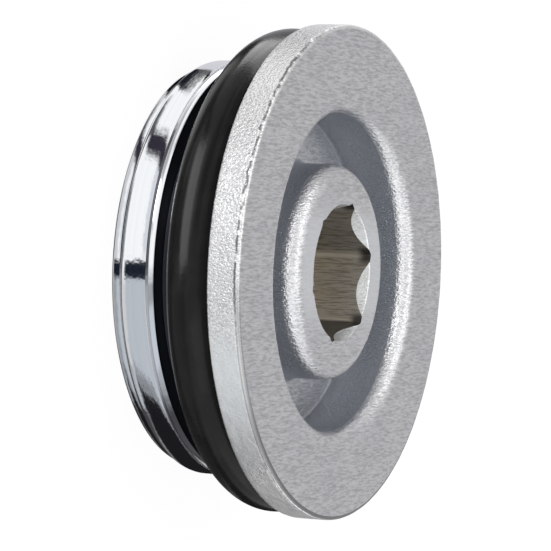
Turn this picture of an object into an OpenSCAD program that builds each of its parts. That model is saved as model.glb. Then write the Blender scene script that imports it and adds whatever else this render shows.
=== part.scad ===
// Flanged pipe plug with a rubber sealing ring.
// The plug stands on its rear face: the axis is Z, the origin is the centre of
// the rear face and the flange with the key socket is at the top.
// All sizes are in millimetres.

/* [Flange] */
// Diameter of the flange
flange_d = 48; // [47.5:0.5:56]
// Thickness of the flange at its rim
flange_t = 3.3; // [2.5:0.1:5]
// Rounding of the rim's front edge
rim_edge_r = 0.4; // [0.1:0.1:1]

/* [Pocket] */
// Diameter of the ring-shaped pocket's outer wall
pocket_d = 31; // [27:0.5:33]
// Depth of the pocket below the flange's face
pocket_depth = 6.2; // [4:0.1:7.5]
// Rounding of the pocket's mouth
mouth_r = 1.5; // [0.5:0.1:2.4]
// Fillet round the pocket's floor
floor_r = 0.4; // [0.2:0.1:1]

/* [Boss] */
// Diameter of the boss that holds the key socket
boss_d = 21; // [18:0.5:22]
// How far the boss's face lies below the flange's face
boss_drop = 0.5; // [0.1:0.1:1]
// Rounding of the boss's edge
boss_edge_r = 1.35; // [0.3:0.05:1.6]

/* [Key socket] */
// Width of the hexagonal socket across its flats
socket_af = 12.1; // [10:0.1:12.5]
// Depth of the socket below the boss's face
socket_depth = 9.5; // [6:0.5:11.5]
// Diameter of the socket's tapered lead-in at the boss's face
lead_d = 13.3; // [12.8:0.1:14]
// Depth at which the lead-in meets the flats
lead_depth = 1; // [0.4:0.1:2]

/* [Sealing ring] */
// Inside diameter of the ring
ring_id = 36.5; // [34:0.5:37.5]
// Thickness of the ring's round cord
ring_cord = 5.3; // [4:0.1:6]
// Clearance between the ring and the metal that it sits on
ring_play = 0.05; // [0.02:0.01:0.2]

/* [Spigot] */
// Length of the neck between the flange and the spigot's land
neck_l = 7.4; // [6.5:0.1:10]
// Diameter of the land that fits in the pipe's port
land_d = 40.7; // [40:0.1:44]
// Length of the land, both its edges included
land_l = 3.5; // [2.8:0.1:6]
// Length of the chamfer on the land's front edge
chamfer_l = 0.45; // [0.2:0.05:0.8]
// Angle of the chamfer from the axis
chamfer_deg = 30; // [20:5:45]
// Width of the fine groove behind the chamfer
line_w = 0.25; // [0.15:0.05:0.4]
// Depth of the fine groove
line_depth = 0.1; // [0.05:0.05:0.3]
// Rounding of the land's rear edge
land_rear_r = 0.5; // [0.2:0.1:0.9]
// Diameter of the shorter pilot behind the land
pilot_d = 39.2; // [37:0.1:39.8]
// Length of the pilot
pilot_l = 1.2; // [1:0.1:3]
// Rounding of the pilot's rear edge
pilot_edge_r = 0.25; // [0.1:0.05:0.4]
// Width of the relief groove at the foot of the land
relief_w = 0.3; // [0.2:0.05:0.4]
// Depth of the relief groove
relief_depth = 0.15; // [0.1:0.05:0.4]

/* [Hidden] */
$fn = 120;

// Small overshoot that keeps a cut clear of the face that it starts from
over = 0.5;

flange_r = flange_d / 2;
pocket_r = pocket_d / 2;
boss_r = boss_d / 2;
land_r = land_d / 2;
pilot_r = pilot_d / 2;
neck_r = ring_id / 2 - ring_play;
socket_r = socket_af / 2 / cos(30);

// Heights along the axis, from the rear face up
land_z = pilot_l;
neck_z = land_z + land_l;
flange_z = neck_z + neck_l;
front_z = flange_z + flange_t;
boss_z = front_z - boss_drop;
pocket_z = front_z - pocket_depth;
socket_z = boss_z - socket_depth;

// The ring's cord runs just behind the flange, round the neck
ring_r = (ring_id + ring_cord) / 2;
ring_z = flange_z - ring_play - ring_cord / 2;

plate_silver = [0.74, 0.75, 0.77];
ring_black = [0.1, 0.1, 0.1];

// What a rounding of radius r takes off a corner at the origin whose
// material lies towards +X and +Y
module corner(r) {
    difference() {
        translate([-over, -over]) square(r + over);
        translate([r, r]) circle(r);
    }
}

// Half section of the pocket between the boss and the flange
module pocket_section() {
    difference() {
        translate([boss_r, pocket_z]) square([pocket_r - boss_r, pocket_depth + over]);
        translate([boss_r, pocket_z]) corner(floor_r);
        translate([pocket_r, pocket_z]) mirror([1, 0]) corner(floor_r);
    }
    translate([pocket_r, front_z]) mirror([0, 1]) corner(mouth_r);
}

// What the chamfer and the fine groove behind it take off the land
module land_chamfer_section() {
    chamfer_r = land_r - chamfer_l * tan(chamfer_deg);
    chamfer_z = neck_z - chamfer_l;
    polygon([
        [land_r, chamfer_z],
        [land_r + over, chamfer_z],
        [land_r + over, neck_z + over],
        [chamfer_r, neck_z + over],
        [chamfer_r, neck_z]
    ]);
    translate([land_r - line_depth, chamfer_z - line_w]) square([line_depth + over, line_w]);
}

// Half section of the plug before the socket is cut
module body_section() {
    difference() {
        union() {
            square([pilot_r, land_z]);
            translate([0, land_z]) square([land_r, land_l]);
            translate([0, neck_z]) square([neck_r, neck_l]);
            translate([0, flange_z]) square([flange_r, flange_t]);
        }
        translate([pilot_r, 0]) mirror([1, 0]) corner(pilot_edge_r);
        translate([pilot_r - relief_depth, land_z - relief_w]) square([relief_depth + over, relief_w]);
        translate([land_r, land_z]) mirror([1, 0]) corner(land_rear_r);
        land_chamfer_section();
        translate([flange_r, front_z]) rotate(180) corner(rim_edge_r);
        pocket_section();
        translate([0, boss_z]) square([boss_r, boss_drop + over]);
        translate([boss_r, boss_z]) rotate(180) corner(boss_edge_r);
    }
}

// Hexagonal socket with a tapered lead-in that scallops the top of its flats
module socket() {
    translate([0, 0, socket_z]) cylinder(r = socket_r, h = socket_depth + over, $fn = 6);
    translate([0, 0, boss_z - lead_depth])
        cylinder(d1 = socket_af, d2 = lead_d, h = lead_depth);
    translate([0, 0, boss_z]) cylinder(d = lead_d, h = over);
}

// The plug is one casting, turned on its spigot
module plug_body() {
    color(plate_silver)
    difference() {
        rotate_extrude() body_section();
        socket();
    }
}

// Round-section rubber ring that seals against the port's face
module seal_ring() {
    color(ring_black)
    translate([0, 0, ring_z])
    rotate_extrude() translate([ring_r, 0]) circle(d = ring_cord);
}

plug_body();
seal_ring();
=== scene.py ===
# Looks of a flanged pipe plug with a rubber sealing ring.
# Everything is in metres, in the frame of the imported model: the plug stands on its rear face,
# +Z runs out of the flange's face, and two corners of the key socket lie on X.

import math

import bmesh
import bpy
from mathutils import Matrix, Vector, noise


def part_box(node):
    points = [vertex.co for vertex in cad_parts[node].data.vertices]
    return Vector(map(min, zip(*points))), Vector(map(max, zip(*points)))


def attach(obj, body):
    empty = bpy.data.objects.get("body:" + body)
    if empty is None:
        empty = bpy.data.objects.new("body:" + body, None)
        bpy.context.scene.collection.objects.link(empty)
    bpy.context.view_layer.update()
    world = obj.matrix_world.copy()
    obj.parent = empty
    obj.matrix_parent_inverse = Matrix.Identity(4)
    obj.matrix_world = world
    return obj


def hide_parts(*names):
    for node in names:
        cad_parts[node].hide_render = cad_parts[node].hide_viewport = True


MM = 0.001
FULL_TURN = 2 * math.pi

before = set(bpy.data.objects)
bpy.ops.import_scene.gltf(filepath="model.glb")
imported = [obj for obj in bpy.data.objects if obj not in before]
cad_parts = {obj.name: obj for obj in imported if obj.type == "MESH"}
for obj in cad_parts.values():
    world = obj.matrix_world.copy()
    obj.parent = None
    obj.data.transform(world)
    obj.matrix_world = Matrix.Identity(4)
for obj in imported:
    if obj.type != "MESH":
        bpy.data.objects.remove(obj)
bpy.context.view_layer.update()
body_low, body_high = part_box("plug_body")
ring_low, ring_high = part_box("seal_ring")

# Sizes that the frame gives
FLANGE_R = body_high.x
FRONT_Z = body_high.z
CORD_R = (ring_high.z - ring_low.z) / 2
RING_Z = (ring_high.z + ring_low.z) / 2
RING_R = ring_high.x - CORD_R

# Spigot, from the rear face up
PILOT_R = 19.6 * MM
PILOT_EDGE_R = 0.25 * MM
RELIEF_Z = 0.9 * MM
RELIEF_DEPTH = 0.15 * MM
LAND_Z = 1.2 * MM
LAND_R = 20.35 * MM
LAND_REAR_R = 0.5 * MM
LAND_CROWN = 0.025 * MM
LINE_LOW_Z = 4.0 * MM
LINE_HIGH_Z = 4.25 * MM
LINE_DEPTH = 0.1 * MM
NECK_Z = 4.7 * MM
CHAMFER_R = 20.09 * MM
NECK_R = 18.2 * MM
TURNED_EDGE_R = 0.03 * MM

# Flange, pocket and boss
FLANGE_Z = 12.1 * MM
RIM_REAR_R = 0.25 * MM
RIM_EDGE_R = 0.4 * MM
POCKET_R = 15.5 * MM
POCKET_Z = 9.2 * MM
MOUTH_R = 1.5 * MM
FLOOR_FILLET_R = 0.4 * MM
BOSS_R = 10.5 * MM
BOSS_Z = 14.9 * MM
BOSS_EDGE_R = 1.6 * MM
BOSS_FACE_R = BOSS_R - 1.1 * BOSS_EDGE_R

# Key socket
SOCKET_FLAT_R = 6.05 * MM
SOCKET_CORNER_R = 0.25 * MM
SOCKET_Z = 5.4 * MM
LEAD_R = 6.65 * MM
LEAD_DEPTH = 1.0 * MM

# How fine the meshes are
COARSE_COUNT = 312
FINE_COUNT = 2 * COARSE_COUNT
CAST_STEP = 0.28 * MM
TURNED_STEP = 0.5 * MM
ARC_STEP = math.radians(22)
SHARP_ANGLE = math.radians(30)
MERGE_DISTANCE = 0.0005 * MM
LEAD_ROWS = 3
BOSS_FACE_ROWS = 9
SOCKET_ROWS = 8
RING_COUNT = 384
CORD_COUNT = 64

# Unevenness of the casting's skin, which only ever lies inside the true surface
GRAIN_DEPTH = 0.028 * MM
GRAIN_SIZE = 0.75 * MM
GRAIN_STRETCH = 2.2
GRAIN_COARSE_SHARE = 0.55
GRAIN_FINE_SHARE = 0.4
GRAIN_FINER = 2.1
GRAIN_SHIFT = Vector((7, 3, 5))

# The photograph's view: the angle between the plug's axis and the view, the axis's turn in
# the picture, the turn of the socket, the place of the face's centre in the picture of
# 551 x 551 pixels, the camera's distance from it, and the focal length in pixels
PICTURE = 551
AXIS_TILT = math.radians(64.72)
AXIS_ROLL = math.radians(-2.58)
SOCKET_TURN = math.radians(14.57)
FACE_PIXEL = (347.0, 272.8)
VIEW_DISTANCE = 0.336
FOCAL_PIXELS = 3469.2
SENSOR_WIDTH = 36.0

# Directions across the plug: AWAY runs from the camera's side to the far side, and UP is
# the direction that the photograph shows as up
AWAY = Vector((math.cos(SOCKET_TURN), -math.sin(SOCKET_TURN), 0))
UP = Vector((math.sin(SOCKET_TURN), math.cos(SOCKET_TURN), 0))
AXIS = Vector((0, 0, 1))

TURNED, GROOVE, CHAMFER, NECK, RIM, CAST, RECESS, BROACHED = range(8)
ROUGH_FINISHES = {RIM, CAST, RECESS}


# Outline of the plug

def arc_points(centre, start, turn, count):
    """count + 1 points from start, turned about centre by turn."""
    spoke = Vector(start) - centre
    points = []
    for i in range(count + 1):
        angle = turn * i / count
        c, s = math.cos(angle), math.sin(angle)
        points.append(centre + Vector((spoke.x * c - spoke.y * s, spoke.x * s + spoke.y * c)))
    return points


def rounded_corner(before, corner, after, radius, step):
    """Points of the arc that rounds a corner of the outline."""
    back = (before - corner).normalized()
    ahead = (after - corner).normalized()
    half = back.angle(ahead) / 2
    reach = radius / math.tan(half)
    centre = corner + (back + ahead).normalized() * radius / math.sin(half)
    turn = math.pi - 2 * half
    if back.x * ahead.y - back.y * ahead.x > 0:
        turn = -turn
    count = max(math.ceil(abs(turn) / ARC_STEP), math.ceil(abs(turn) * radius / step))
    return arc_points(centre, corner + back * reach, turn, count)


def stretch_points(start, end, step):
    """Points between start and end, without either of them."""
    count = max(1, math.ceil((end - start).length / step))
    return [start.lerp(end, i / count) for i in range(1, count)]


def mesh_step(finish):
    """How long an edge of the outline may be."""
    return CAST_STEP if finish in ROUGH_FINISHES else TURNED_STEP


def outline(corners):
    """The outline through corners of (radius, height, rounding, its finish, finish of the
    stretch that follows), as a list of (point, finish from there on)."""
    places = [Vector((radius, height)) for radius, height, *_ in corners]
    samples = [(places[0], corners[0][4])]
    for i in range(1, len(corners) - 1):
        _, _, rounding, bend, finish = corners[i]
        arc = rounded_corner(places[i - 1], places[i], places[i + 1], rounding, mesh_step(bend))
        before = corners[i - 1][4]
        samples += [(p, before) for p in stretch_points(samples[-1][0], arc[0], mesh_step(before))]
        samples += [(p, bend) for p in arc[:-1]]
        samples.append((arc[-1], finish))
    last = corners[-2][4]
    samples += [(p, last) for p in stretch_points(samples[-1][0], places[-1], mesh_step(last))]
    samples.append((places[-1], corners[-1][4]))
    return samples


def spigot_corners():
    """The turned end, from the rear face to the neck."""
    edge = TURNED_EDGE_R
    return [
        (PILOT_R - 2 * PILOT_EDGE_R, 0, 0, TURNED, TURNED),
        (PILOT_R, 0, PILOT_EDGE_R, TURNED, TURNED),
        (PILOT_R, RELIEF_Z, edge, GROOVE, GROOVE),
        (PILOT_R - RELIEF_DEPTH, RELIEF_Z, edge, GROOVE, GROOVE),
        (PILOT_R - RELIEF_DEPTH, LAND_Z, edge, TURNED, TURNED),
        (LAND_R, LAND_Z, LAND_REAR_R, TURNED, TURNED),
        (LAND_R, LINE_LOW_Z, edge, GROOVE, GROOVE),
        (LAND_R - LINE_DEPTH, LINE_LOW_Z, edge, GROOVE, GROOVE),
        (LAND_R - LINE_DEPTH, LINE_HIGH_Z, edge, GROOVE, GROOVE),
        (LAND_R, LINE_HIGH_Z, edge, CHAMFER, CHAMFER),
        (CHAMFER_R, NECK_Z, edge, CHAMFER, NECK),
        (NECK_R, NECK_Z, edge, NECK, NECK),
    ]


def flange_corners():
    """The cast flange, from the neck to the pocket's wall."""
    return [
        (NECK_R, FLANGE_Z, RIM_REAR_R, CAST, CAST),
        (FLANGE_R, FLANGE_Z, RIM_REAR_R, RIM, RIM),
        (FLANGE_R, FRONT_Z, RIM_EDGE_R, RIM, CAST),
        (POCKET_R, FRONT_Z, MOUTH_R, CAST, RECESS),
    ]


def pocket_corners():
    """The pocket's floor and the boss, up to the boss's face."""
    return [
        (POCKET_R, POCKET_Z, FLOOR_FILLET_R, RECESS, CAST),
        (BOSS_R, POCKET_Z, FLOOR_FILLET_R, RECESS, RECESS),
        (BOSS_R, BOSS_Z, BOSS_EDGE_R, CAST, CAST),
        (BOSS_FACE_R, BOSS_Z, 0, CAST, CAST),
    ]


# Key socket

def socket_radius(angle):
    """Distance from the axis to the socket's wall. Its corners are slightly rounded."""
    turn = math.pi / 3
    from_corner = abs((angle + turn / 2) % turn - turn / 2)
    flat = SOCKET_FLAT_R / math.cos(turn / 2 - from_corner)
    centre = (SOCKET_FLAT_R - SOCKET_CORNER_R) / math.cos(turn / 2)
    reach = math.atan2(
        SOCKET_CORNER_R * math.sin(turn / 2),
        centre + SOCKET_CORNER_R * math.cos(turn / 2),
    )
    if from_corner >= reach:
        return flat
    across = centre * math.sin(from_corner)
    return centre * math.cos(from_corner) + math.sqrt(SOCKET_CORNER_R**2 - across**2)


def lead_height(radius):
    """Height of the tapered lead-in at a distance from the axis."""
    slope = LEAD_DEPTH / (LEAD_R - SOCKET_FLAT_R)
    return min(BOSS_Z, BOSS_Z - (LEAD_R - radius) * slope)


def socket_rings(start_r):
    """Rings of (radius, height) pairs from the boss's face down the socket, each with the
    finish of the row that follows it."""
    angles = [FULL_TURN * j / COARSE_COUNT for j in range(COARSE_COUNT)]
    walls = [socket_radius(a) for a in angles]
    mouths = [max(LEAD_R, wall) for wall in walls]
    rings = []
    for i in range(1, BOSS_FACE_ROWS + 1):
        t = i / BOSS_FACE_ROWS
        rings.append(([(start_r + (m - start_r) * t, BOSS_Z) for m in mouths], CAST))
    for i in range(1, LEAD_ROWS + 1):
        t = i / LEAD_ROWS
        radii = [m + (w - m) * t for m, w in zip(mouths, walls)]
        finish = BROACHED if i == LEAD_ROWS else CAST
        rings.append(([(r, lead_height(r)) for r in radii], finish))
    feet = [lead_height(wall) for wall in walls]
    for i in range(1, SOCKET_ROWS + 1):
        t = i / SOCKET_ROWS
        rings.append(([(w, f + (SOCKET_Z - f) * t) for w, f in zip(walls, feet)], BROACHED))
    return rings


# Meshes

def ring_of(bm, places):
    """A ring of vertices from (radius, height) pairs, one for each angle."""
    count = len(places)
    ring = []
    for j, (radius, height) in enumerate(places):
        angle = FULL_TURN * j / count
        ring.append(bm.verts.new((radius * math.cos(angle), radius * math.sin(angle), height)))
    return ring


def join_rings(bm, first, second, finish):
    """Faces between two rings. One of them may have twice as many vertices as the other."""
    fine, coarse = (first, second) if len(first) >= len(second) else (second, first)
    ratio = len(fine) // len(coarse)
    for j in range(len(coarse)):
        k = (j + 1) % len(coarse)
        near = [fine[(ratio * j + i) % len(fine)] for i in range(ratio + 1)]
        faces = [bm.faces.new((near[-2], near[-1], coarse[k], coarse[j]))]
        if ratio == 2:
            faces.append(bm.faces.new((near[0], near[1], coarse[j])))
        for face in faces:
            face.material_index = finish


def close_ring(bm, ring, height, finish):
    """Fills a ring with triangles to a point on the axis."""
    hub = bm.verts.new((0, 0, height))
    for j, vert in enumerate(ring):
        face = bm.faces.new((ring[(j + 1) % len(ring)], hub, vert))
        face.material_index = finish


def crowned(point):
    """A point of the outline with the land's slight crown taken off its edges."""
    if point.x < LAND_R - TURNED_EDGE_R or not LAND_Z < point.y < LINE_LOW_Z:
        return point
    middle = (LAND_Z + LINE_LOW_Z) / 2
    share = (point.y - middle) / (LINE_LOW_Z - middle)
    return Vector((point.x - LAND_CROWN * share * share, point.y))


def skin_depth(place):
    """How far the casting's skin lies under the true surface, from 0 to 1."""
    drawn_out = place.dot(AWAY) / GRAIN_STRETCH
    spot = Vector((drawn_out, place.dot(UP), place.z)) / GRAIN_SIZE
    coarse = noise.noise(spot)
    fine = noise.noise(spot * GRAIN_FINER + GRAIN_SHIFT)
    return min(1, max(0, 0.5 + GRAIN_COARSE_SHARE * coarse + GRAIN_FINE_SHARE * fine))


def roughen_casting(bm):
    """Sinks the casting's vertices a little, each by its own amount."""
    bm.normal_update()
    moves = []
    for vert in bm.verts:
        finishes = {face.material_index for face in vert.link_faces}
        if finishes <= ROUGH_FINISHES:
            moves.append((vert, vert.normal * skin_depth(vert.co) * GRAIN_DEPTH))
    for vert, move in moves:
        vert.co -= move


def ring_count(point):
    """The flange's rim, face and mouth have finer rings than the rest."""
    outside = point.y > FLANGE_Z + MERGE_DISTANCE and point.x > (BOSS_R + POCKET_R) / 2
    return FINE_COUNT if outside else COARSE_COUNT


def plug_mesh():
    """The whole plug as one closed mesh with a finish on each face."""
    bm = bmesh.new()
    samples = outline(spigot_corners() + flange_corners() + pocket_corners())
    previous = None
    for point, finish in samples:
        place = crowned(point)
        ring = ring_of(bm, [(place.x, place.y)] * ring_count(point))
        if previous is None:
            close_ring(bm, ring, 0, TURNED)
        else:
            join_rings(bm, previous[0], ring, previous[1])
        previous = (ring, finish)
    for places, finish in socket_rings(samples[-1][0].x):
        ring = ring_of(bm, places)
        join_rings(bm, previous[0], ring, previous[1])
        previous = (ring, finish)
    close_ring(bm, previous[0][::-1], SOCKET_Z, BROACHED)
    bmesh.ops.remove_doubles(bm, verts=bm.verts, dist=MERGE_DISTANCE)
    bmesh.ops.recalc_face_normals(bm, faces=bm.faces)
    roughen_casting(bm)
    return bm


def cord_mesh():
    """The sealing ring's round cord."""
    bm = bmesh.new()
    rings = []
    for i in range(CORD_COUNT):
        angle = FULL_TURN * i / CORD_COUNT
        place = (RING_R + CORD_R * math.cos(angle), RING_Z + CORD_R * math.sin(angle))
        rings.append(ring_of(bm, [place] * RING_COUNT))
    for i, ring in enumerate(rings):
        join_rings(bm, ring, rings[(i + 1) % CORD_COUNT], 0)
    bmesh.ops.recalc_face_normals(bm, faces=bm.faces)
    return bm


def add_piece(name, bm, materials, node):
    """Makes a piece that stands for a CAD node and rides with the plug."""
    mesh = bpy.data.meshes.new(name)
    bm.to_mesh(mesh)
    bm.free()
    for material in materials:
        mesh.materials.append(material)
    mesh.shade_smooth()
    mesh.set_sharp_from_angle(angle=SHARP_ANGLE)
    piece = bpy.data.objects.new(name, mesh)
    bpy.context.scene.collection.objects.link(piece)
    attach(piece, "root")
    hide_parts(node)
    return piece


# Nodes

def feed(tree, socket, value):
    """Sets a socket, or links it if the value is an output."""
    if isinstance(value, bpy.types.NodeSocket):
        tree.links.new(value, socket)
    else:
        socket.default_value = value


def math_node(tree, operation, *values):
    """A Math node. A value may be a number or another node's output."""
    node = tree.nodes.new("ShaderNodeMath")
    node.operation = operation
    for socket, value in zip(node.inputs, values):
        feed(tree, socket, value)
    return node.outputs[0]


def product(tree, first, second):
    return math_node(tree, "MULTIPLY", first, second)


def dot_node(tree, vector, direction):
    node = tree.nodes.new("ShaderNodeVectorMath")
    node.operation = "DOT_PRODUCT"
    tree.links.new(vector, node.inputs[0])
    node.inputs[1].default_value = direction
    return node.outputs["Value"]


def smooth_step(tree, value, low, high, out_low=0.0, out_high=1.0):
    """out_low up to low, out_high from high, and a smooth step between them."""
    node = tree.nodes.new("ShaderNodeMapRange")
    node.interpolation_type = "SMOOTHSTEP"
    feed(tree, node.inputs["Value"], value)
    node.inputs["From Min"].default_value = low
    node.inputs["From Max"].default_value = high
    node.inputs["To Min"].default_value = out_low
    node.inputs["To Max"].default_value = out_high
    return node.outputs["Result"]


def fall(tree, value, low, high, start=1.0):
    """A smooth step down from start to 0."""
    return smooth_step(tree, value, low, high, start, 0.0)


def window(tree, value, low, high, soft):
    """1 between low and high, with soft edges, and 0 elsewhere."""
    rise = smooth_step(tree, value, low - soft, low + soft)
    return product(tree, rise, fall(tree, value, high - soft, high + soft))


def mix_colours(tree, factor, first, second):
    """The first colour where the factor is 0, the second where it is 1. A colour may be three
    numbers or another node's output."""
    node = tree.nodes.new("ShaderNodeMix")
    node.data_type = "RGBA"
    feed(tree, node.inputs["Factor"], factor)
    for name, colour in (("A", first), ("B", second)):
        feed(tree, node.inputs[name], (*colour, 1) if isinstance(colour, tuple) else colour)
    return node.outputs["Result"]


def object_place(tree):
    return tree.nodes.new("ShaderNodeTexCoord").outputs["Object"]


def along(tree, place, direction):
    """How far along a direction a place is, in millimetres."""
    return dot_node(tree, place, direction / MM)


def axis_distance(tree, place):
    """Distance from the plug's axis."""
    node = tree.nodes.new("ShaderNodeVectorMath")
    node.operation = "MULTIPLY"
    tree.links.new(place, node.inputs[0])
    node.inputs[1].default_value = (1, 1, 0)
    length = tree.nodes.new("ShaderNodeVectorMath")
    length.operation = "LENGTH"
    tree.links.new(node.outputs["Vector"], length.inputs[0])
    return length.outputs["Value"]


def noise_node(tree, vector, size, detail):
    node = tree.nodes.new("ShaderNodeTexNoise")
    tree.links.new(vector, node.inputs["Vector"])
    node.inputs["Scale"].default_value = 1 / size
    node.inputs["Detail"].default_value = detail
    return node.outputs["Fac"]


def drawn_noise(tree, place, sizes, detail):
    """Noise that has its own size along AWAY, along UP and along the axis."""
    node = tree.nodes.new("ShaderNodeCombineXYZ")
    for socket, direction, size in zip(node.inputs, (AWAY, UP, AXIS), sizes):
        tree.links.new(dot_node(tree, place, direction / size), socket)
    return noise_node(tree, node.outputs["Vector"], 1.0, detail)


def bump_node(tree, height, distance, normal=None):
    node = tree.nodes.new("ShaderNodeBump")
    node.inputs["Strength"].default_value = 1.0
    node.inputs["Distance"].default_value = distance
    tree.links.new(height, node.inputs["Height"])
    if normal is not None:
        tree.links.new(normal, node.inputs["Normal"])
    return node.outputs["Normal"]


def new_surface(name, colour, metallic, roughness):
    material = bpy.data.materials.new(name)
    material.use_nodes = True
    shader = material.node_tree.nodes["Principled BSDF"]
    shader.inputs["Base Color"].default_value = (*colour, 1)
    shader.inputs["Metallic"].default_value = metallic
    shader.inputs["Roughness"].default_value = roughness
    return material, material.node_tree, shader


# Casting. In all materials, names that end in UP are heights along UP and names that end in
# STEP are values of a noise, each as (where a mark starts, where it ends). Heights are in
# millimetres, and a SHARE is the strength of a mark or a noise.

CAST_COLOUR = (0.86, 0.86, 0.86)
CAST_PIT_COLOUR = (0.56, 0.56, 0.57)
CAST_STAIN_COLOUR = (0.82, 0.82, 0.84)
CAST_ROUGHNESS = 0.36
COARSE_SIZES = (1.2 * MM, 0.19 * MM, 0.30 * MM)
FINE_SIZES = (0.6 * MM, 0.13 * MM, 0.17 * MM)
COARSE_BUMP = 0.085 * MM
FINE_BUMP = 0.04 * MM
COARSE_SHARE = 0.65
PIT_STEP = (0.30, 0.65)
STAIN_SIZE = 5 * MM
STAIN_STEP = (0.4, 0.7)


def cast_metal(name, peak, pit, tone_change, roughness):
    """Plating over the grain of a casting, which is drawn out along AWAY as the photograph
    shows it. Pits are duller than peaks."""
    material, tree, shader = new_surface(name, peak, 1.0, roughness)
    place = object_place(tree)
    coarse = drawn_noise(tree, place, COARSE_SIZES, detail=1.5)
    fine = drawn_noise(tree, place, FINE_SIZES, detail=1.0)
    patches = noise_node(tree, place, STAIN_SIZE, detail=3.0)
    fine_part = product(tree, fine, 1 - COARSE_SHARE)
    height = math_node(tree, "ADD", product(tree, coarse, COARSE_SHARE), fine_part)
    clean = mix_colours(tree, smooth_step(tree, patches, *STAIN_STEP), peak, tone_change)
    colour = mix_colours(tree, smooth_step(tree, height, *PIT_STEP), pit, clean)
    tree.links.new(colour, shader.inputs["Base Color"])
    normal = bump_node(tree, coarse, COARSE_BUMP)
    normal = bump_node(tree, fine, FINE_BUMP, normal)
    tree.links.new(normal, shader.inputs["Normal"])
    return material


def base_of(material):
    """A material's node tree, its base colour's socket and the colour linked to it."""
    socket = material.node_tree.nodes["Principled BSDF"].inputs["Base Color"]
    return material.node_tree, socket, socket.links[0].from_socket


# Painted highlight across the middle of the boss's face
BOSS_HIGHLIGHT_COLOUR = (0.98, 0.99, 1.0)
BOSS_HIGHLIGHT_R = (BOSS_R - 1.8 * MM, BOSS_R - 0.8 * MM)
BOSS_HIGHLIGHT_UP = (-5, 6)
BOSS_HIGHLIGHT_SOFT = 2.5
BOSS_HIGHLIGHT_SHARE = 0.8
# Painted shade on the pocket's floor towards its wall
FLOOR_SHADE_R = (POCKET_R - 2.5 * MM, POCKET_R - 0.5 * MM)
FLOOR_SHADE_HEIGHT = 0.3
FLOOR_SHADE_SHARE = 0.2
# Painted shade on the key socket's tapered lead-in
LEAD_SHADE_COLOUR = (0.57, 0.58, 0.57)
LEAD_SOFT = 0.08 * MM


def face_metal():
    """The cast face, with a painted highlight across the middle of the boss, painted shade on the floor
    towards the pocket's wall, and painted shade on the key socket's lead-in."""
    material = cast_metal(
        "plated_casting", CAST_COLOUR, CAST_PIT_COLOUR, CAST_STAIN_COLOUR, CAST_ROUGHNESS)
    tree, base, colour = base_of(material)
    place = object_place(tree)
    radius = axis_distance(tree, place)
    middle = window(tree, along(tree, place, UP), *BOSS_HIGHLIGHT_UP, BOSS_HIGHLIGHT_SOFT)
    boss_highlight = product(tree, fall(tree, radius, *BOSS_HIGHLIGHT_R), middle)
    boss_highlight = product(tree, boss_highlight, BOSS_HIGHLIGHT_SHARE)
    colour = mix_colours(tree, boss_highlight, colour, BOSS_HIGHLIGHT_COLOUR)
    floor = POCKET_Z / MM
    height = along(tree, place, AXIS)
    low = fall(tree, height, floor, floor + FLOOR_SHADE_HEIGHT, FLOOR_SHADE_SHARE)
    floor_shade = product(tree, low, smooth_step(tree, radius, *FLOOR_SHADE_R))
    colour = mix_colours(tree, floor_shade, colour, RECESS_SHADED_COLOUR)
    lead_shade = fall(tree, radius, LEAD_R - LEAD_SOFT, LEAD_R)
    colour = mix_colours(tree, lead_shade, colour, LEAD_SHADE_COLOUR)
    tree.links.new(colour, base)
    return material


# Colours of the pocket, darkened as painted shade for the shade that falls in it
RECESS_SHADED_COLOUR = (0.47, 0.49, 0.53)
RECESS_INNER_SHADED_COLOUR = (0.53, 0.55, 0.59)
RECESS_SHADED_PIT_COLOUR = (0.41, 0.43, 0.47)
RECESS_CORNER_SHADE_COLOUR = (0.36, 0.375, 0.41)
RECESS_SHADE_COLOUR = (0.22, 0.23, 0.25)
RECESS_ROUGHNESS = 0.42
RECESS_INNER_R = (BOSS_R + 0.1 * MM, BOSS_R + 0.5 * MM)
RECESS_OUTER_R = (POCKET_R - 1.5 * FLOOR_FILLET_R, POCKET_R - FLOOR_FILLET_R)
# Heights over the pocket's floor, in radii of its fillet
WALL_SHADE_HEIGHTS = (0.5, 6)
WALL_SHADE_SHARE = 0.8
FILLET_SHADE_HEIGHTS = (0.18, 0.55)
FILLET_SHADE_SOFT = 0.1
FILLET_SHADE_SHARE = 0.7
FILLET_FOOT_HEIGHTS = (0.03, 0.16)
FILLET_FOOT_SHARE = 0.3


def over_floor(heights):
    """Heights over the pocket's floor as heights over the rear face, in the same unit."""
    return [POCKET_Z / FLOOR_FILLET_R + height for height in heights]


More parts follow.
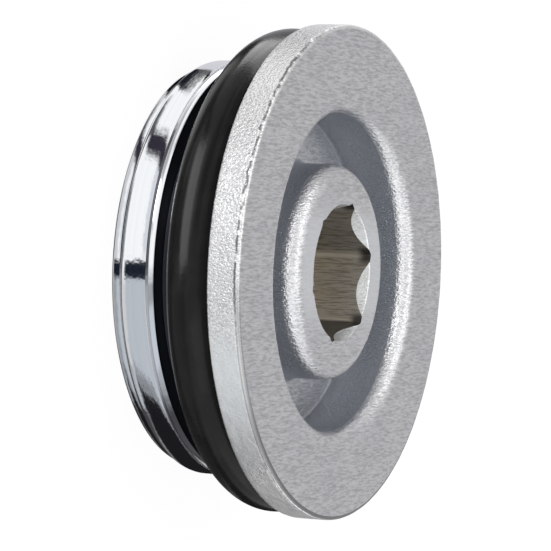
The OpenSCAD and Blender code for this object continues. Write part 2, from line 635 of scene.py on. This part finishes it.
def recess_metal():
    """The casting in the pocket, darkened all over with painted shade: less of it on the boss's side,
    and on the outer side deeper painted shade above the floor and on the fillet, whose foot is lighter."""
    material = cast_metal(
        "recess_painted_shade", RECESS_SHADED_COLOUR, RECESS_SHADED_PIT_COLOUR, RECESS_SHADED_COLOUR, RECESS_ROUGHNESS)
    tree, base, colour = base_of(material)
    place = object_place(tree)
    radius = axis_distance(tree, place)
    inner = fall(tree, radius, *RECESS_INNER_R)
    colour = mix_colours(tree, inner, colour, RECESS_INNER_SHADED_COLOUR)
    height = dot_node(tree, place, AXIS / FLOOR_FILLET_R)
    dark_shade = fall(tree, height, *over_floor(WALL_SHADE_HEIGHTS), WALL_SHADE_SHARE)
    shade = window(tree, height, *over_floor(FILLET_SHADE_HEIGHTS), FILLET_SHADE_SOFT)
    shade = product(tree, shade, FILLET_SHADE_SHARE)
    foot = fall(tree, height, *over_floor(FILLET_FOOT_HEIGHTS), FILLET_FOOT_SHARE)
    marks = ((dark_shade, RECESS_CORNER_SHADE_COLOUR), (shade, RECESS_SHADE_COLOUR), (foot, CAST_COLOUR))
    outer = smooth_step(tree, radius, *RECESS_OUTER_R)
    for mark, tint in marks:
        colour = mix_colours(tree, product(tree, outer, mark), colour, tint)
    tree.links.new(colour, base)
    return material


RIM_COLOUR = (0.97, 0.965, 0.95)
RIM_PIT_COLOUR = (0.62, 0.62, 0.63)
RIM_FRONT = (FRONT_Z - RIM_EDGE_R) / MM
# The topmost part, with a painted highlight, and the smoother underside with the share of the grain that
# it keeps
RIM_HIGHLIGHT_UP = (12, 19)
RIM_HIGHLIGHT_SHARE = 0.85
RIM_SMOOTH_COLOUR = (0.98, 0.98, 0.97)
RIM_SMOOTH_UP = (-9, -3)
RIM_SMOOTH_SHARE = 0.8
RIM_SMOOTH_GRAIN = 0.18
# The front edge, with painted shade below the middle and deeper painted shade at the bottom
RIM_EDGE_SHADE_COLOUR = (0.47, 0.47, 0.47)
RIM_EDGE_HEIGHTS = (RIM_FRONT - 0.06, RIM_FRONT + 0.02)
RIM_EDGE_SHADE_UP = (-4, 2)
RIM_LOWEST_UP = (-16, -10)
RIM_LOWEST_SHARE = 0.6
# A dark line along the front edge. It leans, wanders and breaks
RIM_LINE_COLOUR = (0.18, 0.18, 0.185)
RIM_LINE_LEAN = 0.008
RIM_LINE_WANDER_SIZE = 1.4 * MM
RIM_LINE_WANDER = 0.5
RIM_LINE_HEIGHTS = (RIM_FRONT + 0.16, RIM_FRONT + 0.39)
RIM_LINE_SOFT = 0.10
RIM_BREAK_SIZE = 0.8 * MM
RIM_BREAK_STEP = (0.35, 0.50)
RIM_LINE_UP = (-4, 22.5)
RIM_LINE_UP_SOFT = 2.5


def dark_edge_line(tree, place, upward):
    """Where the dark broken line lies along the rim's front edge."""
    wander = noise_node(tree, place, RIM_LINE_WANDER_SIZE, detail=2.0)
    height = along(tree, place, AXIS - UP * RIM_LINE_LEAN)
    height = math_node(tree, "MULTIPLY_ADD", wander, RIM_LINE_WANDER, height)
    line = window(tree, height, *RIM_LINE_HEIGHTS, RIM_LINE_SOFT)
    gaps = noise_node(tree, place, RIM_BREAK_SIZE, detail=3.0)
    line = product(tree, line, smooth_step(tree, gaps, *RIM_BREAK_STEP))
    return product(tree, line, window(tree, upward, *RIM_LINE_UP, RIM_LINE_UP_SOFT))


def rim_metal():
    """The cast rim: a painted highlight at the top, smoother on the underside, with painted shade on the
    front edge and a dark broken line along it."""
    material = cast_metal("plated_rim", RIM_COLOUR, RIM_PIT_COLOUR, RIM_COLOUR, CAST_ROUGHNESS)
    tree, base, colour = base_of(material)
    place = object_place(tree)
    upward = along(tree, place, UP)
    grain = smooth_step(tree, upward, *RIM_SMOOTH_UP, RIM_SMOOTH_GRAIN, 1)
    for node in tree.nodes:
        if node.type == "BUMP":
            tree.links.new(grain, node.inputs["Strength"])
    edge = smooth_step(tree, along(tree, place, AXIS), *RIM_EDGE_HEIGHTS)
    # Painted shade on the front edge below the middle, deepest at the bottom in the dark line's colour
    edge_shade = product(tree, edge, fall(tree, upward, *RIM_EDGE_SHADE_UP))
    lowest = product(tree, edge, fall(tree, upward, *RIM_LOWEST_UP, RIM_LOWEST_SHARE))
    marks = (
        (smooth_step(tree, upward, *RIM_HIGHLIGHT_UP, 0, RIM_HIGHLIGHT_SHARE), RIM_COLOUR),
        (fall(tree, upward, *RIM_SMOOTH_UP, RIM_SMOOTH_SHARE), RIM_SMOOTH_COLOUR),
        (edge_shade, RIM_EDGE_SHADE_COLOUR),
        (lowest, RIM_LINE_COLOUR),
        (dark_edge_line(tree, place, upward), RIM_LINE_COLOUR),
    )
    for mark, tint in marks:
        colour = mix_colours(tree, mark, colour, tint)
    tree.links.new(colour, base)
    return material


# Turned spigot. FROM_REAR is in millimetres over the rear face.

# Dark colour for the painted shade in the grooves and for the smear on the pilot
DARK_MARK_COLOUR = (0.15, 0.15, 0.16)
RAGGED_EDGE_SIZE = 0.8 * MM
MIRROR_COLOUR = (0.90, 0.91, 0.93)
MIRROR_ROUGHNESS = 0.06
WAVE_SIZE = 1.3 * MM
WAVE_BUMP = 0.018 * MM
RIPPLE_SIZE = 0.35 * MM
RIPPLE_BUMP = 0.003 * MM
TURNING_SIZES = (40 * MM, 40 * MM, 0.22 * MM)
TURNING_BUMP = 0.002 * MM
TURNING_STEP = (0.3, 0.7)
TURNING_SHARE = 0.12
BLOTCH_SIZES = (1.2 * MM, 1.2 * MM, 0.5 * MM)
# Painted shade over the pilot's rear end, with a blotchy border
REAR_BLOTCH = 0.5
PILOT_SHADE_COLOUR = (0.52, 0.53, 0.55)
PILOT_SHADE_FROM_REAR = (0.65, 0.95)
PILOT_SHADE_SHARE = 0.85
# A dark smear on the pilot, near the top of the camera's side
SMEAR_BLOTCH = 0.8
SMEAR_UP = (17.6, 18.1)
SMEAR_FROM_REAR = (1.35, 1.5)
SMEAR_TOWARD = (1.5, 3.0)


def turned_normal(tree, place, lines):
    """Faint waves and turning lines."""
    waves = noise_node(tree, place, WAVE_SIZE, detail=2.5)
    ripples = noise_node(tree, place, RIPPLE_SIZE, detail=1.5)
    normal = bump_node(tree, waves, WAVE_BUMP)
    normal = bump_node(tree, ripples, RIPPLE_BUMP, normal)
    return bump_node(tree, lines, TURNING_BUMP, normal)


def turned_metal():
    """Mirror plating over a turned surface, with painted shade on the rear end and a dark smear."""
    material, tree, shader = new_surface("mirror_plating", MIRROR_COLOUR, 1.0, MIRROR_ROUGHNESS)
    place = object_place(tree)
    lines = drawn_noise(tree, place, TURNING_SIZES, detail=2.0)
    tree.links.new(turned_normal(tree, place, lines), shader.inputs["Normal"])
    blotches = drawn_noise(tree, place, BLOTCH_SIZES, detail=3.0)
    height = math_node(tree, "MULTIPLY_ADD", blotches, REAR_BLOTCH, along(tree, place, AXIS))
    # Painted shade on the rear end, with the turning lines a little darker
    tone_change = fall(tree, height, *PILOT_SHADE_FROM_REAR, PILOT_SHADE_SHARE)
    tone_change = math_node(tree, "ADD", tone_change, fall(tree, lines, *TURNING_STEP, TURNING_SHARE))
    colour = mix_colours(tree, tone_change, MIRROR_COLOUR, PILOT_SHADE_COLOUR)
    upward = math_node(tree, "MULTIPLY_ADD", blotches, SMEAR_BLOTCH, along(tree, place, UP))
    smear = smooth_step(tree, upward, *SMEAR_UP)
    smear = product(tree, smear, fall(tree, height, *SMEAR_FROM_REAR))
    toward = smooth_step(tree, along(tree, place, -AWAY), *SMEAR_TOWARD)
    colour = mix_colours(tree, product(tree, smear, toward), colour, DARK_MARK_COLOUR)
    tree.links.new(colour, shader.inputs["Base Color"])
    return material


# Painted shade on the chamfer's lower part
CHAMFER_SHADE_COLOUR = (0.34, 0.36, 0.39)
CHAMFER_DEEP_SHADE_COLOUR = (0.05, 0.05, 0.055)
CHAMFER_ROUGHNESS = 0.1
CHAMFER_RAGGEDNESS = 2.0
CHAMFER_SHADE_UP = (-1.0, 1.5)
CHAMFER_DEEP_SHADE_UP = (-13, -9)


def chamfer_metal():
    """The land's chamfer: bright above, with grey and then dark painted shade towards the plug's
    underside.
    """
    material, tree, shader = new_surface("chamfer_plating", MIRROR_COLOUR, 1.0, CHAMFER_ROUGHNESS)
    place = object_place(tree)
    ragged = noise_node(tree, place, RAGGED_EDGE_SIZE, detail=2.0)
    upward = math_node(tree, "MULTIPLY_ADD", ragged, CHAMFER_RAGGEDNESS, along(tree, place, UP))
    grey_shade = fall(tree, upward, *CHAMFER_SHADE_UP)
    colour = mix_colours(tree, grey_shade, MIRROR_COLOUR, CHAMFER_SHADE_COLOUR)
    deep_shade = fall(tree, upward, *CHAMFER_DEEP_SHADE_UP)
    colour = mix_colours(tree, deep_shade, colour, CHAMFER_DEEP_SHADE_COLOUR)
    tree.links.new(colour, shader.inputs["Base Color"])
    return material


# Painted shade in the grooves, by height along UP
GROOVE_COLOUR = (0.80, 0.81, 0.82)
GROOVE_LOW_SHADE_COLOUR = (0.60, 0.61, 0.63)
GROOVE_ROUGHNESS = 0.3
GROOVE_RAGGEDNESS = 3.0
GROOVE_LOW_SHADE_UP = (-1.5, 1.5)
GROOVE_SHADE_LOW_UP = (-0.5, 2.0)
# The dark painted shade's upper end lies higher on the rear groove than on the front one
GROOVE_SHADE_SLANT = 1.7
GROOVE_SHADE_HIGH = (20.5, 23.0)
GROOVE_LOWEST_UP = (-13.5, -11)


def groove_metal():
    """The fine turned grooves, with grey painted shade below the middle, and dark painted shade along
    the upper part and at the bottom."""
    material, tree, shader = new_surface("turned_groove", GROOVE_COLOUR, 1.0, GROOVE_ROUGHNESS)
    place = object_place(tree)
    upward = along(tree, place, UP)
    slanted = along(tree, place, UP + AXIS * GROOVE_SHADE_SLANT)
    ragged = noise_node(tree, place, RAGGED_EDGE_SIZE, detail=2.0)
    low_end = math_node(tree, "MULTIPLY_ADD", ragged, GROOVE_RAGGEDNESS, upward)
    high_end = math_node(tree, "MULTIPLY_ADD", ragged, GROOVE_RAGGEDNESS, slanted)
    dark_shade = smooth_step(tree, low_end, *GROOVE_SHADE_LOW_UP)
    dark_shade = product(tree, dark_shade, fall(tree, high_end, *GROOVE_SHADE_HIGH))
    dark_shade = math_node(tree, "MAXIMUM", dark_shade, fall(tree, upward, *GROOVE_LOWEST_UP))
    grey_shade = fall(tree, upward, *GROOVE_LOW_SHADE_UP)
    colour = mix_colours(tree, grey_shade, GROOVE_COLOUR, GROOVE_LOW_SHADE_COLOUR)
    colour = mix_colours(tree, dark_shade, colour, DARK_MARK_COLOUR)
    tree.links.new(colour, shader.inputs["Base Color"])
    return material


# Painted shade: the neck's dark colour stands in for the shade under the ring
NECK_SHADE_COLOUR = (0.07, 0.075, 0.09)
NECK_ROUGHNESS = 0.4
NECK_LINE_SIZES = (40 * MM, 40 * MM, 0.2 * MM)
NECK_BUMP = 0.01 * MM


def neck_metal():
    """The neck under the sealing ring, painted dark as the shade there."""
    material, tree, shader = new_surface("neck_painted_shade", NECK_SHADE_COLOUR, 1.0, NECK_ROUGHNESS)
    lines = drawn_noise(tree, object_place(tree), NECK_LINE_SIZES, detail=2.0)
    tree.links.new(bump_node(tree, lines, NECK_BUMP), shader.inputs["Normal"])
    return material


# Key socket. Names that end in R_MM are distances from the axis, in millimetres.

SOCKET_COLOUR = (0.84, 0.83, 0.80)
SOCKET_ROUGHNESS = 0.34
SOCKET_STREAK_COLOUR = (0.50, 0.47, 0.42)
SOCKET_STREAK_SIZES = (0.30 * MM, 0.14 * MM, 1.6 * MM)
SOCKET_STREAK_STEP = (0.36, 0.58)
SOCKET_STREAK_BUMP = 0.05 * MM
SOCKET_OIL_COLOUR = (0.83, 0.77, 0.68)
SOCKET_OIL_SIZES = (1.2 * MM, 0.8 * MM, 2.0 * MM)
SOCKET_OIL_WANDER = 5.0
SOCKET_OIL_HEIGHTS = (11.0, 14.0)
# A painted highlight near the socket's corners
SOCKET_CORNER_HIGHLIGHT_COLOUR = (0.98, 0.96, 0.90)
SOCKET_HIGHLIGHT_R_MM = (6.72, 6.86)
# Painted shade lies in the mouth's corners and on the lowest flat, which DOWN points at
SOCKET_SHADE_COLOUR = (0.16, 0.155, 0.15)
SOCKET_SHADE_R_MM = (6.4, 6.75)
SOCKET_SHADE_HEIGHTS = (13.3, 14.3)
SOCKET_LOW_FLAT_DOWN = (5.8, 6.0)
SOCKET_LOW_FLAT_SHARE = 0.85
DOWN = Vector((0, -1, 0))


def socket_shade(tree, place, radius, height):
    """Where the painted shade is."""
    mouth = smooth_step(tree, height, *SOCKET_SHADE_HEIGHTS)
    shade_in_socket = product(tree, smooth_step(tree, radius, *SOCKET_SHADE_R_MM), mouth)
    low_flat = smooth_step(tree, along(tree, place, DOWN), *SOCKET_LOW_FLAT_DOWN)
    return math_node(tree, "MAXIMUM", shade_in_socket, product(tree, low_flat, SOCKET_LOW_FLAT_SHARE))


def broached_metal():
    """Metal with the axial streaks of a broach, oil that has browned it further down, a painted
    highlight near the corners, and painted shade in the mouth's corners and on the lowest flat.
    """
    material, tree, shader = new_surface("broached_socket", SOCKET_COLOUR, 1.0, SOCKET_ROUGHNESS)
    place = object_place(tree)
    height = along(tree, place, AXIS)
    streaks = drawn_noise(tree, place, SOCKET_STREAK_SIZES, detail=3.0)
    stains = drawn_noise(tree, place, SOCKET_OIL_SIZES, detail=3.0)
    depth = math_node(tree, "MULTIPLY_ADD", stains, SOCKET_OIL_WANDER, height)
    oil = fall(tree, depth, *SOCKET_OIL_HEIGHTS)
    clean = mix_colours(tree, oil, SOCKET_COLOUR, SOCKET_OIL_COLOUR)
    mark = smooth_step(tree, streaks, *SOCKET_STREAK_STEP)
    colour = mix_colours(tree, mark, SOCKET_STREAK_COLOUR, clean)
    radius = math_node(tree, "DIVIDE", axis_distance(tree, place), MM)
    # Painted highlight near the corners
    corner = smooth_step(tree, radius, *SOCKET_HIGHLIGHT_R_MM)
    colour = mix_colours(tree, corner, colour, SOCKET_CORNER_HIGHLIGHT_COLOUR)
    shade_in_socket = socket_shade(tree, place, radius, height)
    colour = mix_colours(tree, shade_in_socket, colour, SOCKET_SHADE_COLOUR)
    tree.links.new(colour, shader.inputs["Base Color"])
    tree.links.new(bump_node(tree, streaks, SOCKET_STREAK_BUMP), shader.inputs["Normal"])
    return material


# Sealing ring

RUBBER_COLOUR = (0.008, 0.008, 0.0078)
RUBBER_ROUGHNESS = 0.2
RUBBER_SPECULAR = 0.16
BLOOM_COLOUR = (0.014, 0.013, 0.012)
BLOOM_SIZE = 3 * MM
BLOOM_STEP = (0.4, 0.75)
SKIN_SIZE = 0.3 * MM
SKIN_BUMP = 0.008 * MM


def ring_rubber():
    """Satin black rubber with a little bloom."""
    material, tree, shader = new_surface("sealing_rubber", RUBBER_COLOUR, 0.0, RUBBER_ROUGHNESS)
    shader.inputs["Specular IOR Level"].default_value = RUBBER_SPECULAR
    place = object_place(tree)
    bloom = smooth_step(tree, noise_node(tree, place, BLOOM_SIZE, detail=4.0), *BLOOM_STEP)
    colour = mix_colours(tree, bloom, RUBBER_COLOUR, BLOOM_COLOUR)
    tree.links.new(colour, shader.inputs["Base Color"])
    skin = noise_node(tree, place, SKIN_SIZE, detail=2.0)
    tree.links.new(bump_node(tree, skin, SKIN_BUMP), shader.inputs["Normal"])
    return material


# Studio

# Cards round the plug, later ones over earlier ones. A bearing is the angle from the
# camera's side towards the photograph's top and an elevation the angle over the plug's face,
# both in degrees, with soft edges. The lean is how many degrees of bearing a card's sides
# move for each degree of elevation above MIDDLE.
MIDDLE = -25
CARDS = (
    # Bearings, their softness, elevations, their softness, lean, colour
    # The sky over the plug's face
    ((-400, -120), 5, (3, 40), 4, 0, (0.50, 0.50, 0.515)),
    ((-120, -60), 5, (3, 40), 4, 0, (1.12, 1.13, 1.15)),
    ((-120, -60), 5, (40, 72), 4, 0, (0.78, 0.79, 0.80)),
    ((-60, -20), 5, (3, 40), 4, 0, (1.57, 1.59, 1.62)),
    ((-60, -20), 5, (40, 72), 4, 0, (1.30, 1.31, 1.33)),
    ((-20, 20), 5, (3, 40), 4, 0, (0.95, 0.96, 0.97)),
    ((-20, 20), 5, (40, 72), 4, 0, (0.50, 0.50, 0.51)),
    ((20, 120), 5, (3, 40), 4, 0, (0.42, 0.42, 0.43)),
    ((20, 60), 5, (40, 72), 4, 0, (0.75, 0.75, 0.75)),
    ((60, 120), 5, (40, 72), 4, 0, (1.95, 1.95, 1.95)),
    ((120, 400), 5, (40, 72), 4, 0, (0.70, 0.70, 0.71)),
    ((-400, 400), 5, (72, 120), 4, 0, (1.60, 1.60, 1.60)),
    # What the land's chamfer reflects
    ((-8, 70), 4, (27, 41), 3, 0, (1.02, 1.03, 1.04)),
    ((193, 213), 3, (4, 27), 2, -2.57, (1.02, 1.03, 1.04)),
    # The studio's sides
    ((-400, 400), 10, (-62, 3), 5, 0, (0.98, 0.98, 0.97)),
    ((-400, 0), 10, (-62, 3), 5, 0, (1.08, 1.08, 1.07)),
    ((-4, 118), 6, (-62, 8), 5, 0, (1.02, 1.03, 1.04)),
    ((14, 60), 6, (-11, 2), 3, 0, (1.90, 1.90, 1.86)),
    ((104, 140), 6, (-12, 4), 3, 0, (3.60, 3.60, 3.60)),
    ((-200, -90), 6, (-14, 3), 3, 0, (0.45, 0.45, 0.46)),
    # What the rear edges of the land and the pilot reflect
    ((-60, -8), 6, (-75, -35), 3, 0, (0.66, 0.66, 0.66)),
    ((-90, -60), 4, (-75, -31), 2, 0, (0.42, 0.42, 0.43)),
    ((5, 58), 4, (-75, -45), 3, 0, (0.36, 0.38, 0.40)),
    ((80, 112), 4, (-75, -31), 3, 0, (0.12, 0.12, 0.13)),
    # What the turned land reflects
    ((5, 60), 4, (-23.5, -14), 1.5, 0, (0.72, 0.74, 0.79)),
    ((-115, -5.5), 2, (-36, -14), 3, 0, (0.52, 0.555, 0.595)),
    ((-200, -90), 4, (-75, -31), 2, 0, (0.06, 0.06, 0.06)),
    ((-84, -68), 4, (-31, -14), 2, -2.9, (0.28, 0.29, 0.31)),
    ((-190, -81), 4, (-31, -14), 2, -2.9, (0.012, 0.012, 0.014)),
    ((-7.2, 2.6), 1.6, (-38, -7), 3, 0, (0.01, 0.014, 0.025)),
    ((60.5, 77), 4.5, (-34, -14), 3, -1.2, (0.035, 0.03, 0.045)),
    ((110, 140), 3, (-75, -25.5), 2, -2.25, (0.012, 0.014, 0.02)),
    ((131, 140), 2, (-26, -12), 2, -2.6, (0.012, 0.012, 0.015)),
    ((140, 190), 3, (-45, 0), 4, -2.25, (0.68, 0.68, 0.72)),
)
FAR_COLOUR = (0.50, 0.50, 0.515)
NADIR_COLOUR = (0.10, 0.10, 0.11)
WHITE = (1.0, 1.0, 1.0)
HORIZON_SOFT = 8


def light_from_cards(tree, direction):
    """Colour of the surroundings in a direction."""
    toward = dot_node(tree, direction, -AWAY)
    upward = dot_node(tree, direction, UP)
    height = dot_node(tree, direction, AXIS)
    bearing = math_node(tree, "DEGREES", math_node(tree, "ARCTAN2", upward, toward))
    elevation = math_node(tree, "DEGREES", math_node(tree, "ARCSINE", height))
    above = math_node(tree, "SUBTRACT", elevation, MIDDLE)
    sky = smooth_step(tree, elevation, -HORIZON_SOFT, HORIZON_SOFT)
    colour = mix_colours(tree, sky, NADIR_COLOUR, FAR_COLOUR)
    for sides, side_soft, heights, height_soft, lean, tint in CARDS:
        leant = math_node(tree, "SUBTRACT", bearing, product(tree, above, lean))
        across = window(tree, leant, *sides, side_soft)
        inside = product(tree, across, window(tree, elevation, *heights, height_soft))
        colour = mix_colours(tree, inside, colour, tint)
    return colour


def studio_world():
    """A white studio: the camera sees plain white, and the plug sees the cards."""
    world = bpy.data.worlds.new("studio")
    bpy.context.scene.world = world
    world.use_nodes = True
    tree = world.node_tree
    background = tree.nodes["Background"]
    direction = tree.nodes.new("ShaderNodeTexCoord").outputs["Generated"]
    camera_ray = tree.nodes.new("ShaderNodeLightPath").outputs["Is Camera Ray"]
    colour = mix_colours(tree, camera_ray, light_from_cards(tree, direction), WHITE)
    tree.links.new(colour, background.inputs["Color"])
    background.inputs["Strength"].default_value = 1.0


FLOOR_SIZE = 3.0
FLOOR_GLOW = 0.86
FLOOR_COLOUR = (0.9, 0.9, 0.9)
FLOOR_STRENGTH = 1.06


def floor_material():
    """White to the camera, with the plug's soft shadow."""
    material = bpy.data.materials.new("studio_floor")
    material.use_nodes = True
    tree = material.node_tree
    tree.nodes.remove(tree.nodes["Principled BSDF"])
    output = tree.nodes["Material Output"]
    matt = tree.nodes.new("ShaderNodeBsdfDiffuse")
    matt.inputs["Color"].default_value = (*FLOOR_COLOUR, 1)
    glow = tree.nodes.new("ShaderNodeEmission")
    glow.inputs["Strength"].default_value = FLOOR_STRENGTH
    camera_ray = tree.nodes.new("ShaderNodeLightPath").outputs["Is Camera Ray"]
    mix = tree.nodes.new("ShaderNodeMixShader")
    tree.links.new(product(tree, camera_ray, FLOOR_GLOW), mix.inputs["Fac"])
    tree.links.new(matt.outputs[0], mix.inputs[1])
    tree.links.new(glow.outputs[0], mix.inputs[2])
    tree.links.new(mix.outputs[0], output.inputs["Surface"])
    return material


def add_floor():
    """The floor that the plug stands on. It isn't mirrored and casts no shadow."""
    bm = bmesh.new()
    bmesh.ops.create_grid(bm, x_segments=1, y_segments=1, size=FLOOR_SIZE / 2)
    mesh = bpy.data.meshes.new("floor")
    bm.to_mesh(mesh)
    bm.free()
    mesh.materials.append(floor_material())
    floor = bpy.data.objects.new("floor", mesh)
    floor.location.z = body_low.z
    floor.visible_glossy = False
    floor.visible_shadow = False
    bpy.context.scene.collection.objects.link(floor)


def add_softbox(name, bearing, elevation, distance, size, power):
    """A soft light that faces the plug. Its size is its width along the bearing and its
    height. Returns the lamp."""
    light = bpy.data.lights.new(name, "AREA")
    light.shape = "RECTANGLE"
    light.size, light.size_y = size
    light.energy = power
    lamp = bpy.data.objects.new(name, light)
    side = -AWAY * math.cos(math.radians(bearing)) + UP * math.sin(math.radians(bearing))
    lift = math.radians(elevation)
    toward = side * math.cos(lift) + AXIS * math.sin(lift)
    lamp.location = Vector((0, 0, FRONT_Z / 2)) + toward * distance
    width_axis = AXIS.cross(side)
    rows = [width_axis, toward.cross(width_axis), toward]
    lamp.rotation_euler = Matrix(rows).transposed().to_euler()
    bpy.context.scene.collection.objects.link(lamp)
    return lamp


def light_only(lamp, piece):
    """Keeps a lamp's light to one piece."""
    receivers = bpy.data.collections.new(lamp.name + "_receivers")
    receivers.objects.link(piece)
    lamp.light_linking.receiver_collection = receivers


def add_lamps(plug, sealing_ring):
    """Two lamps that light the plug, and two that only give the ring its highlights."""
    lamps = [
        add_softbox("key", bearing=35, elevation=14, distance=0.45, size=(0.16, 0.16), power=0.36),
        add_softbox("low_side", bearing=-116, elevation=-7, distance=0.45, size=(0.4, 0.1), power=0.45),
        add_softbox("ring_strip", bearing=29, elevation=-23, distance=0.4, size=(0.41, 0.24), power=1.6),
        add_softbox("ring_top", bearing=117, elevation=2, distance=0.4, size=(0.17, 0.36), power=1.0),
    ]
    for lamp in lamps[:2]:
        light_only(lamp, plug)
    for lamp in lamps[2:]:
        lamp.visible_diffuse = False
        light_only(lamp, sealing_ring)


# Camera

def photo_camera():
    """A camera at the photograph's viewing angle, turned as the photograph is."""
    axis = Vector((
        math.sin(AXIS_TILT) * math.cos(AXIS_ROLL),
        math.sin(AXIS_TILT) * math.sin(AXIS_ROLL),
        math.cos(AXIS_TILT),
    ))
    picture_up = Vector((0, 1, 0))
    up = (picture_up - axis * axis.dot(picture_up)).normalized()
    away = up.cross(axis)
    rows = [AWAY * away[i] + UP * up[i] + AXIS * axis[i] for i in range(3)]
    pixel = VIEW_DISTANCE / FOCAL_PIXELS
    right = (FACE_PIXEL[0] - PICTURE / 2) * pixel
    rise = (PICTURE / 2 - FACE_PIXEL[1]) * pixel
    centre = Vector((0, 0, FRONT_Z)) - rows[0] * right - rows[1] * rise + rows[2] * VIEW_DISTANCE
    data = bpy.data.cameras.new("photo_camera")
    data.sensor_width = SENSOR_WIDTH
    data.lens = SENSOR_WIDTH * FOCAL_PIXELS / PICTURE
    data.clip_start = VIEW_DISTANCE / 10
    camera = bpy.data.objects.new("photo_camera", data)
    camera.matrix_world = Matrix.Translation(centre) @ Matrix(rows).transposed().to_4x4()
    bpy.context.scene.collection.objects.link(camera)
    bpy.context.scene.camera = camera


photo_camera()
studio_world()
add_floor()

plug_finishes = [
    turned_metal(),
    groove_metal(),
    chamfer_metal(),
    neck_metal(),
    rim_metal(),
    face_metal(),
    recess_metal(),
    broached_metal(),
]
plug = add_piece("plug", plug_mesh(), plug_finishes, "plug_body")
sealing_ring = add_piece("sealing_ring", cord_mesh(), [ring_rubber()], "seal_ring")
add_lamps(plug, sealing_ring)

bpy.context.scene.view_settings.view_transform = "Standard"
